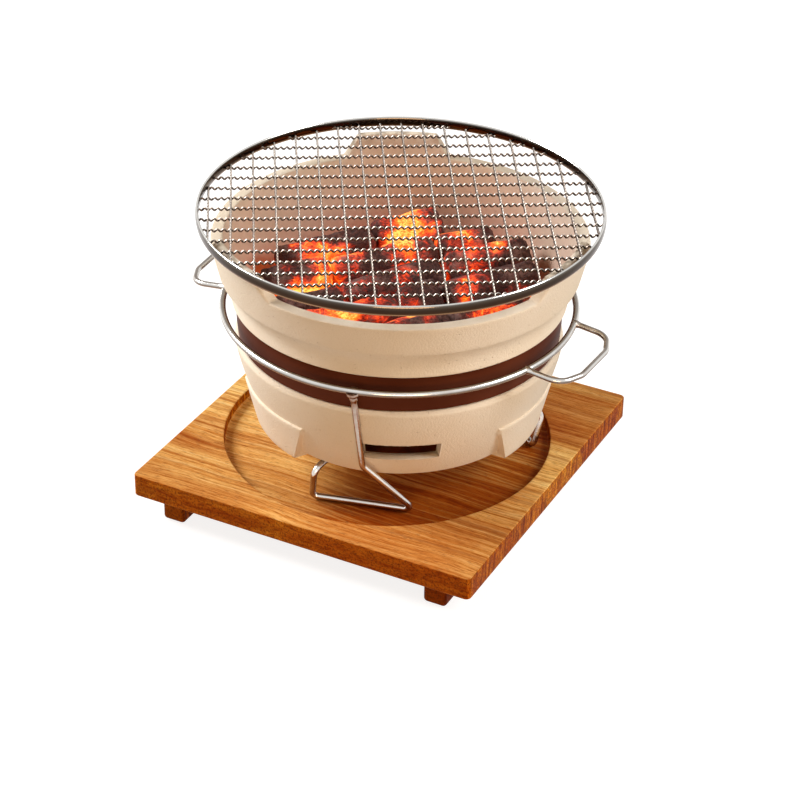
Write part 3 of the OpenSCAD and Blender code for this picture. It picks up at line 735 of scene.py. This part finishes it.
def handle():
    """A flat loop that sinks a little from the ring outwards and swells at its welded ends."""
    start = math.sqrt(RING_R ** 2 - HANDLE_HALF_W ** 2) - HANDLE_SINK
    low = RING_Z - HANDLE_DROP
    shoulder_z = RING_Z - HANDLE_DROP * (HANDLE_SHOULDER - start) / (HANDLE_REACH - start)
    half = [(start, RING_Z, HANDLE_HALF_W), (HANDLE_SHOULDER, shoulder_z, HANDLE_HALF_W),
            (HANDLE_REACH, low, HANDLE_HALF_W / 2)]
    corners = [(x, -y, z) for x, z, y in half] + [(x, y, z) for x, z, y in reversed(half)]
    line = resample(bent(corners, [HANDLE_BEND] * 4, 12), 1.2)
    run = distance_along(line)
    swell = 0.75 * (1 - smoothstep(2.0, 6.0, np.minimum(run, run[-1] - run)))
    return tube(line, HANDLE_WIRE_R + swell, 20, np.array([0.0, 0.0, 1.0]))


def hub_weld():
    """The bead that joins the wires under the hearth: a lens, lumpy round its edge."""
    upper = [(7.6, 1.5), (5.0, 2.3), (0.01, 2.4)]
    outline = [(r, CARRY_Z - rise) for r, rise in reversed(upper)]
    outline += [(HUB_R, CARRY_Z)] + [(r, CARRY_Z + rise) for r, rise in upper]
    points, faces = lathe(outline, 48)
    lumps = 0.25 * noise_at(points, 3.0, 8)
    flat = points * np.array([1, 1, 0])
    length = np.maximum(np.linalg.norm(flat, axis=1), 0.5)[:, None]
    return points - flat / length * np.abs(lumps)[:, None], faces


ring_section = [(RING_R + WIRE_R * math.cos(a), RING_Z + WIRE_R * math.sin(a))
                for a in np.linspace(0, 2 * math.pi, 24, endpoint=False)]
make_object("ring", *lathe(ring_section, 240), "stand", bright_steel, ["stand_ring"], "stand_steel")
leg_points, leg_faces = leg()
for k, name in enumerate(("front", "right", "left")):
    make_object("leg_" + name, turned(leg_points, LEG_DIR + THIRD * k), leg_faces, "stand", leg_steel,
                ["stand_leg_" + name], "stand_steel")
make_object("hub_weld", *hub_weld(), "stand", bright_steel, ["stand_hub_weld"], "stand_steel")
handle_points, handle_faces = handle()
for name, turn in (("right", -HANDLE_LEAN), ("left", 180 + HANDLE_LEAN)):
    make_object("handle_" + name, turned(handle_points, turn), handle_faces, "stand", bright_steel,
                ["stand_handle_" + name], "stand_steel")


# ---- Hearth: a turned bowl with three low stretches in its rim, an air slot and three pads
def outer_r(z):
    """Outside radius of the lower wall: a curve from the base, along two tangents, to the lip."""
    (r0, z0), (r1, z1), (r2, z2) = (BASE_R, BASE_Z), WALL_PULL, (LIP_R, LIP_Z)
    curl, rise = z0 - 2 * z1 + z2, 2 * (z1 - z0)
    t = 2 * (z - z0) / (rise + math.sqrt(rise * rise + 4 * curl * (z - z0)))
    return (1 - t) ** 2 * r0 + 2 * t * (1 - t) * r1 + t * t * r2


def inner_r(z):
    """Inside radius of the bowl."""
    return CAVITY_R + WALL_TILT * (z - WAIST_Z)


def pad_r(z):
    """Outside radius of a pad, which leans outwards as it rises."""
    return PAD_LOW_R + (PAD_TOP_R - PAD_LOW_R) * (z - PAD_LOW_Z) / (PAD_TOP_Z - PAD_LOW_Z)


def heights_past_slot(start, end):
    """Heights from start to end, one of which is the slot's lower edge."""
    return list(np.linspace(start, SLOT_Z[0], 9)) + list(np.linspace(SLOT_Z[0], end, 5)[1:])


def bare_wall():
    """Outline from the base's middle to the slot's upper edge, with as many points as at a pad."""
    points = along((0.5, BASE_Z), (90.0, BASE_Z), 4)
    points += along((90.0, BASE_Z), (92.0, BASE_Z), 2)
    points += [(93.0, BASE_Z)]
    points += along((94.5, BASE_Z), (BASE_R - 1.0, BASE_Z), 4)
    points += arc((BASE_R - 0.75, BASE_Z + FOOT_ROUND), FOOT_ROUND, -90, -20, 4)
    heights = heights_past_slot(BASE_Z + 2.4, 91.0) + [91.8, 92.6, 93.6, SLOT_Z[1]]
    return np.array(points + [(outer_r(z), z) for z in heights])


def padded_wall():
    """Outline from the base's middle, round a pad, to the slot's upper edge."""
    points = along((0.5, BASE_Z), (90.0, BASE_Z), 4)
    points += along((90.0, BASE_Z), (91.5, PAD_LOW_Z + 0.8), 2)
    points += [(92.4, PAD_LOW_Z)]
    points += along((94.0, PAD_LOW_Z), (PAD_LOW_R - 1.6, PAD_LOW_Z), 4)
    points += arc((PAD_LOW_R - 1.4, PAD_LOW_Z + FOOT_ROUND), FOOT_ROUND, -90, -15, 4)
    points += [(pad_r(z), z) for z in heights_past_slot(PAD_LOW_Z + 3.0, PAD_TOP_Z - 1.0)]
    points += [(PAD_TOP_R - 0.35, PAD_TOP_Z - 0.3), (PAD_TOP_R - 1.0, PAD_TOP_Z + 0.15)]
    points += [(outer_r(PAD_TOP_Z + 0.4) + 0.1, PAD_TOP_Z + 0.35), (outer_r(SLOT_Z[1]), SLOT_Z[1])]
    return np.array(points)


def lip_to_step():
    """Outline from the slot's upper edge over the lip, the waist and the hollow to the collar's step."""
    rise = STEP_Z - SKIRT_Z
    corners = [(outer_r(z), z, 0) for z in np.linspace(SLOT_Z[1], LIP_Z - 2, 9)]
    corners += [(LIP_R, LIP_Z, 2.6), (120.7, WAIST_Z, 0.5), (WAIST_R, WAIST_Z, 0.5),
                (WAIST_R - 0.2, WAIST_Z + 2, 0), (WAIST_R - 0.2, SKIRT_Z - 2, 0),
                (WAIST_R, SKIRT_Z, 0.5), (SKIRT_R, SKIRT_Z, 1.1)]
    corners += [(SKIRT_R + 6.0 * t - 2.6 * math.sin(math.pi * t), SKIRT_Z + rise * t, 0)
                for t in np.linspace(0.08, 0.97, 12)]
    corners += [(COLLAR_LOW_R - 2.0, STEP_Z + 0.1, 0.4), (COLLAR_LOW_R, STEP_Z + 0.2, 0.35),
                (COLLAR_LOW_R + 0.7, STEP_Z + 3.0, 0)]
    return densified(rounded_outline(corners), 2.2)[1:]


def collar_r(z):
    """Outside radius of the collar, which leans outwards and is upright near the crown."""
    slope = (COLLAR_TOP_R - COLLAR_LOW_R) / (CROWN_Z - COLLAR_EDGE - STEP_Z)
    return min(COLLAR_LOW_R + slope * (z - STEP_Z), COLLAR_TOP_R)


def rim(top):
    """Outline of the collar, crown and inner wall where the rim's top is at that height."""
    share = (top - NOTCH_Z) / (CROWN_Z - NOTCH_Z)
    round_out, round_in = 0.9 + 3.6 * share, 1.0 + 0.8 * share
    turn_z = top - round_out
    outside, inside = collar_r(turn_z), inner_r(top)
    inner_top = top - round_in - 1
    points = along((COLLAR_LOW_R + 0.7, STEP_Z + 3.0), (outside, turn_z), 9)
    points += arc((outside - round_out, turn_z), round_out, 0, 90, 7)
    points += along((outside - round_out, top), (inside + round_in, top), 4)[1:]
    points += arc((inside + round_in, top - round_in), round_in, 90, 180, 5)
    points += along((inner_r(inner_top), inner_top), (inner_r(INNER_Z), INNER_Z), 9)
    return points


def inside_down():
    """Outline of the inside, from the bowl over the grate's ledge to the middle of the floor."""
    low, high = SLOT_Z
    corners = [(inner_r(INNER_Z), INNER_Z, 0), (inner_r(SEAT_Z), SEAT_Z, 1.0), (SEAT_R, SEAT_Z, 1.2),
               (SEAT_R, SEAT_Z - SEAT_THICK, 1.2), (outer_r(high) - BASE_WALL, high, 0)]
    upper = densified(rounded_outline(corners), 5.0)
    bend_z = FLOOR_Z + 2
    corners = [(outer_r(low) - BASE_WALL, low, 0), (outer_r(bend_z) - BASE_WALL, bend_z, 1.5),
               (outer_r(FLOOR_Z) - BASE_WALL - 1, FLOOR_Z, 0.6), (70.0, FLOOR_Z, 0)]
    lower = densified(rounded_outline(corners), 6.0)
    return upper + lower + along((60.0, FLOOR_Z), (0.5, FLOOR_Z), 3, ends=True)


def rim_heights(angles):
    """Height of the rim's top at each angle: low at the slot's side, and a third of a turn on."""
    off = np.abs((angles - FRONT_DIR + THIRD / 2) % THIRD - THIRD / 2)
    eased = smoothstep(NOTCH_HALF - 0.6, NOTCH_HALF + RAMP_DEG + 0.6, off)
    straight = np.clip((off - NOTCH_HALF) / RAMP_DEG, 0, 1)
    return NOTCH_Z + (CROWN_Z - NOTCH_Z) * (0.45 * eased + 0.55 * straight)


def pad_side(radius, z):
    """Angle from a pad's middle to its side, which leans outwards as it rises."""
    half = np.interp(z, [PAD_LOW_Z, PAD_TOP_Z], PAD_HALF_W)
    return math.degrees(math.asin(half / radius)) if radius > PAD_INNER_R else PAD_COLUMN


def bent_columns(angles, from_pad, padded, rows):
    """Angle of each point, by row and column, with the columns next to a pad bent to its sides."""
    fade = 12
    side = np.full(rows, PAD_COLUMN)
    side[:len(padded)] = [pad_side(*p) for p in padded]
    side[len(padded):len(padded) + fade] = np.linspace(side[len(padded) - 1], PAD_COLUMN, fade)
    straight = [0, PAD_COLUMN, PAD_REACH, THIRD / 2]
    bent_to = [np.interp(np.abs(from_pad), straight, [0, s, PAD_REACH, THIRD / 2]) for s in side]
    return np.radians(angles - from_pad + np.sign(from_pad) * np.array(bent_to))


def point_at(row, column):
    return row * COLUMNS + column % COLUMNS


def walls_past_slot(rows, half, outer, inner):
    """Faces between the rows, except in the slot's outer and inner mouth, and the end caps."""
    faces = []
    for i in range(rows - 1):
        crosses = outer[0] <= i < outer[1] or inner[1] <= i < inner[0]
        for k in range(COLUMNS):
            if crosses and (k + half) % COLUMNS < 2 * half:
                continue
            faces.append((point_at(i, k), point_at(i, k + 1), point_at(i + 1, k + 1), point_at(i + 1, k)))
    return faces + end_caps(rows, COLUMNS)


def wear_slot(points, half, outer):
    """Lowers the outer edge of the slot's sill as if worn, and makes its upper edge uneven."""
    for k in range(-half + 1, half):
        fade = min(1.0, (half - abs(k)) / 3)
        points[point_at(outer[0], k), 2] -= fade * (0.7 + 0.5 * noise.noise(Vector((k * 0.9, 0.3, 0))))
        points[point_at(outer[1], k), 2] += fade * 0.45 * noise.noise(Vector((k * 0.8, 9.3, 0)))


def slot_faces(half, outer, inner, first):
    """Roof, sill and ends of the slot. The sill has a row of its own that starts at point first."""
    faces = []
    for k in range(-half, half):
        edge = first + k + half
        faces.append((point_at(outer[1], k + 1), point_at(outer[1], k),
                      point_at(inner[1], k), point_at(inner[1], k + 1)))
        faces.append((point_at(outer[0], k), point_at(outer[0], k + 1), edge + 1, edge))
        faces.append((edge, edge + 1, point_at(inner[0], k + 1), point_at(inner[0], k)))
    for k, edge in ((half, first + 2 * half), (-half, first)):
        outside = [point_at(i, k) for i in range(outer[1], outer[0] - 1, -1)]
        inside = [point_at(i, k) for i in range(inner[0], inner[1] - 1, -1)]
        end = outside + [edge] + inside
        faces.append(tuple(end if k > 0 else reversed(end)))
    return faces


def hearth_body():
    """The hearth as columns of outlines all round, with the air slot cut through its wall."""
    angles = FRONT_DIR + np.arange(COLUMNS) * 360 / COLUMNS
    from_pad = (angles - FRONT_DIR) % THIRD - THIRD / 2
    bare, padded = bare_wall(), padded_wall()
    middle, inside = np.array(lip_to_step()), np.array(inside_down())
    columns = []
    for top, off_pad in zip(rim_heights(angles), np.abs(from_pad)):
        wall = padded if off_pad < PAD_COLUMN + 0.01 else bare
        columns.append(np.vstack([wall, middle, rim(top), inside]))
    radius, z = np.array(columns).transpose(2, 1, 0)                # each by row and column
    rows = len(z)
    a = bent_columns(angles, from_pad, padded, rows)
    points = np.stack([radius * np.cos(a), radius * np.sin(a), z], -1).reshape(-1, 3)
    at_low, at_high = [np.flatnonzero(np.abs(z[:, 0] - edge) < 1e-6) for edge in SLOT_Z]
    outer, inner = (at_low[0], at_high[0]), (at_low[-1], at_high[-1])
    half = int(SLOT_HALF * COLUMNS / 360)
    sill = [polar(outer_r(SLOT_Z[0]) - 3.0, FRONT_DIR + k * 360 / COLUMNS, SLOT_Z[0] + 0.1)
            for k in range(-half, half + 1)]
    faces = walls_past_slot(rows, half, outer, inner) + slot_faces(half, outer, inner, len(points))
    points = np.vstack([points, sill])
    wear_slot(points, half, outer)
    return points, flipped(faces)


def on_slot(place):
    """True for a place on the air slot's mouth."""
    off = (math.degrees(math.atan2(place.y, place.x)) - FRONT_DIR + 180) % 360 - 180
    return abs(off) <= SLOT_HALF + 0.2 and SLOT_Z[0] - 0.2 < place.z < SLOT_Z[1] + 0.2


def soften(obj, select, width, segments, sharp):
    """Bevels the sharp edges of a piece that have both ends where select is true."""
    made = bmesh.new()
    made.from_mesh(obj.data)
    edges = [e for e in made.edges if not e.smooth and all(select(v.co / MM) for v in e.verts)]
    bmesh.ops.bevel(made, geom=edges, offset=width * MM, segments=segments, affect="EDGES",
                    profile=0.5, clamp_overlap=True)
    made.to_mesh(obj.data)
    made.free()
    obj.data.shade_smooth()
    obj.data.set_sharp_from_angle(angle=math.radians(sharp))


def waist_band():
    """Outline of the band in the waist's groove, which swells a little between its edges."""
    low, high = WAIST_Z + 0.15, SKIRT_Z - 0.15
    back, edge, face = WAIST_R - 0.05, WAIST_R + 0.3, WAIST_R + 1.15
    outline = [(back, high - 0.3), (back, low + 0.3), (edge, low)]
    outline += [(face + 1.25 * math.sin(math.pi * t), low + 0.5 + (high - low - 1.0) * t)
                for t in np.linspace(0, 1, 24)]
    return outline + [(edge, high)]


hearth = make_object("hearth", *hearth_body(), "hearth", cream,
                     ["hearth_base", "hearth_wall", "hearth_collar", "hearth_lugs"], "cream_stoneware", 50)
soften(hearth, on_slot, 0.35, 1, 50)
make_object("waist_band", *lathe(waist_band(), 360), "hearth", brown, ["waist_band"], "brown_glaze", 60)


# ---- Fire: the grate keeps its own solid; each piece of charcoal is roughened from its solid
def give(node, material):
    """Puts a material on a CAD node that keeps its shape."""
    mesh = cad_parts[node].data
    mesh.materials.clear()
    mesh.materials.append(material)


give("fire_grate", clay)
give("runner_screws", screw_steel)


def remeshed(node):
    """A copy of the node's mesh in fine, even faces."""
    copy = placed("tmp_" + node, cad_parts[node].data.copy())
    weld = copy.modifiers.new("weld", "WELD")
    weld.merge_threshold = 0.01 * MM
    remesh = copy.modifiers.new("remesh", "REMESH")
    remesh.mode = "VOXEL"
    remesh.voxel_size = 1.5 * MM
    smooth = copy.modifiers.new("smooth", "SMOOTH")
    smooth.iterations = 3
    graph = bpy.context.evaluated_depsgraph_get()
    mesh = bpy.data.meshes.new_from_object(copy.evaluated_get(graph))
    old = copy.data
    bpy.data.objects.remove(copy)
    bpy.data.meshes.remove(old)
    return mesh


def lump(node, seed):
    """A split log: the node's solid, remeshed and worn inwards by noise."""
    mesh = remeshed(node)
    count = len(mesh.vertices)
    points, normals = np.empty(count * 3), np.empty(count * 3)
    mesh.vertices.foreach_get("co", points)
    mesh.vertices.foreach_get("normal", normals)
    points, normals = points.reshape(-1, 3) / MM, normals.reshape(-1, 3)
    worn = 0.25 + 2.6 * np.clip(noise_at(points, 15.0, seed) + 0.15, 0, 1)
    worn += 1.3 * np.clip(noise_at(points, 5.0, seed + 50), 0, 1)
    worn += 0.35 * np.abs(noise_at(points, 1.8, seed + 90))
    faces = [tuple(p.vertices) for p in mesh.polygons]
    bpy.data.meshes.remove(mesh)
    return points - normals * worn[:, None], faces


numbers = sorted(int(name.split("_")[1]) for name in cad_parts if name.startswith("charcoal_"))
for seed, number in enumerate(numbers):
    node = "charcoal_%d" % number
    make_object("lump_%d" % number, *lump(node, seed), "fire", charcoal, [node], "charcoal", 70)


# ---- Grill: a rolled rim and a woven net of crimped wires
def rim_section():
    """An upright oval, a little fuller than an ellipse."""
    def fuller(share):
        return math.copysign(abs(share) ** 0.9, share)
    return [(RIM_R + RIM_HALF_W * fuller(math.cos(a)), RIM_Z + RIM_HALF_H * fuller(math.sin(a)))
            for a in np.linspace(0, 2 * math.pi, 40, endpoint=False)]


def mesh_wire(number):
    """Crimped wire number of a set, along X, with a wave between its crossings too."""
    middle = (MESH_COUNT - 1) / 2
    y = (number - middle) * MESH_PITCH
    half = math.sqrt((RIM_R - MESH_STOP) ** 2 - y * y)
    wave = MESH_PITCH / WAVES_PER_CELL
    x = np.linspace(-half, half, max(16, int(2 * half / wave * 8)))
    sign = 1 if number % 2 == 0 else -1
    phase = (x / MESH_PITCH + middle) * 2 * math.pi * WAVES_PER_CELL
    near_end = smoothstep(0.0, 1.5, half - np.abs(x))
    z = sign * (MESH_WIRE_R + MESH_CLEAR / 2) * np.cos(phase) * near_end
    line = np.column_stack([x, np.full(len(x), y), z])
    return tube(line, np.full(len(x), MESH_WIRE_R), 8, np.array([0.0, 1.0, 0.0]))


make_object("grill_rim", *lathe(rim_section(), 300), "grill", rim_steel, ["grill_rim"], "rim_steel", 60)
for name, turn in (("across", 0), ("along", 90)):
    points, faces = joined([mesh_wire(k) for k in range(MESH_COUNT)])
    points = turned(points, MESH_TURN + turn) + np.array([0, 0, MESH_Z])
    make_object("net_" + name, points, faces, "grill", mesh_steel, ["grill_wires_" + name], "mesh_steel")


# ---- Stage, lights and camera
IMAGE = 800                 # the photograph's side, in pixels
FOCAL = 2463.74             # in pixels
TARGET = np.array([1.38, 0.70, 63.8])  # in millimetres, as the distance is
DISTANCE = 1880.1
AZIMUTH, ELEVATION = 26.94, 31.998  # in degrees, the azimuth from -Y to +X
ROLL = 0.01623              # in radians
STAGE_HALF = 6.0            # in metres
STAGE_Z = -0.0005
STAGE_GREY = (0.34, 0.34, 0.34, 1)
WARM = (0.205, 0.14, 0.080)  # the world's light on the object
MIDDLE = (0, 0, 0.12)       # the lamps are aimed here
LAMP_DISTANCE = 1.6


def direction(azimuth, elevation):
    """Direction from the object to a place at that azimuth and elevation."""
    a, e = math.radians(azimuth), math.radians(elevation)
    return Vector((math.sin(a) * math.cos(e), -math.cos(a) * math.cos(e), math.sin(e)))


def add_camera():
    data = bpy.data.cameras.new("camera")
    data.sensor_width = 36.0
    data.lens = FOCAL / IMAGE * data.sensor_width
    data.clip_start, data.clip_end = 0.05, 50
    obj = placed("camera", data)
    back = direction(AZIMUTH, ELEVATION)
    obj.location = Vector(TARGET * MM) + back * DISTANCE * MM
    obj.rotation_mode = "QUATERNION"
    obj.rotation_quaternion = (-back).to_track_quat("-Z", "Y") @ Quaternion((0, 0, 1), ROLL)
    bpy.context.scene.camera = obj


def seen_directly(t):
    """1 on camera, glossy and transmission rays, which see the white backdrop; 0 on the rest."""
    path = t.node("ShaderNodeLightPath").outputs
    return t.math("MAXIMUM", t.math("MAXIMUM", path["Is Camera Ray"], path["Is Glossy Ray"]),
                  path["Is Transmission Ray"])


def add_floor():
    """A white floor that takes soft shadows. It is a little greyer near the object."""
    t = new_material("stage_floor")
    away = t.node("ShaderNodeVectorMath", {0: t.position()}, operation="LENGTH").outputs["Value"]
    white = t.remap(away, 0.5, 1.6, 0.84, 1.0, smooth=True)
    strength = t.mul(seen_directly(t), white)
    emit = t.node("ShaderNodeEmission", {"Color": (1, 1, 1, 1), "Strength": strength})
    diffuse = t.node("ShaderNodeBsdfDiffuse", {"Color": STAGE_GREY})
    both = t.node("ShaderNodeAddShader", {0: emit.outputs[0], 1: diffuse.outputs[0]})
    t.link(both.outputs[0], t.tree.nodes["Material Output"].inputs["Surface"])
    t.tree.nodes.remove(t.tree.nodes["Principled BSDF"])
    mesh = bpy.data.meshes.new("floor")
    corners = ((-1, -1), (1, -1), (1, 1), (-1, 1))
    mesh.from_pydata([(x * STAGE_HALF, y * STAGE_HALF, STAGE_Z) for x, y in corners], [], [(0, 1, 2, 3)])
    mesh.materials.append(t.owner)
    floor = placed("floor", mesh)


def add_world():
    """White where it is seen, and a dimmer warm light on everything."""
    t = Tree(bpy.data.worlds.new("world"))
    colour = t.mix(seen_directly(t), WARM, (1.0, 1.0, 1.0))
    t.link(colour, t.tree.nodes["Background"].inputs["Color"])
    bpy.context.scene.world = t.owner


def add_lamp(name, from_camera, elevation, size, power, colour):
    """An area lamp at an angle to the camera's right, as seen from the object, and aimed at it."""
    data = bpy.data.lights.new(name, "AREA")
    data.shape = "RECTANGLE"
    data.size, data.size_y = size
    data.energy = power
    data.color = colour
    obj = placed(name, data)
    away = direction(AZIMUTH + from_camera, elevation)
    obj.location = Vector(MIDDLE) + away * LAMP_DISTANCE
    obj.rotation_mode = "QUATERNION"
    obj.rotation_quaternion = (-away).to_track_quat("-Z", "Y")


add_camera()
add_floor()
add_world()
add_lamp("key", -106, 32, (0.7, 0.7), 31.0, (0.98, 0.99, 1.0))
add_lamp("side", 72, 34, (0.6, 0.8), 17.5, (1.0, 0.99, 0.97))
add_lamp("front", 2, 10, (0.8, 0.4), 7.5, (1.0, 0.64, 0.34))
bpy.context.scene.view_settings.view_transform = "Standard"
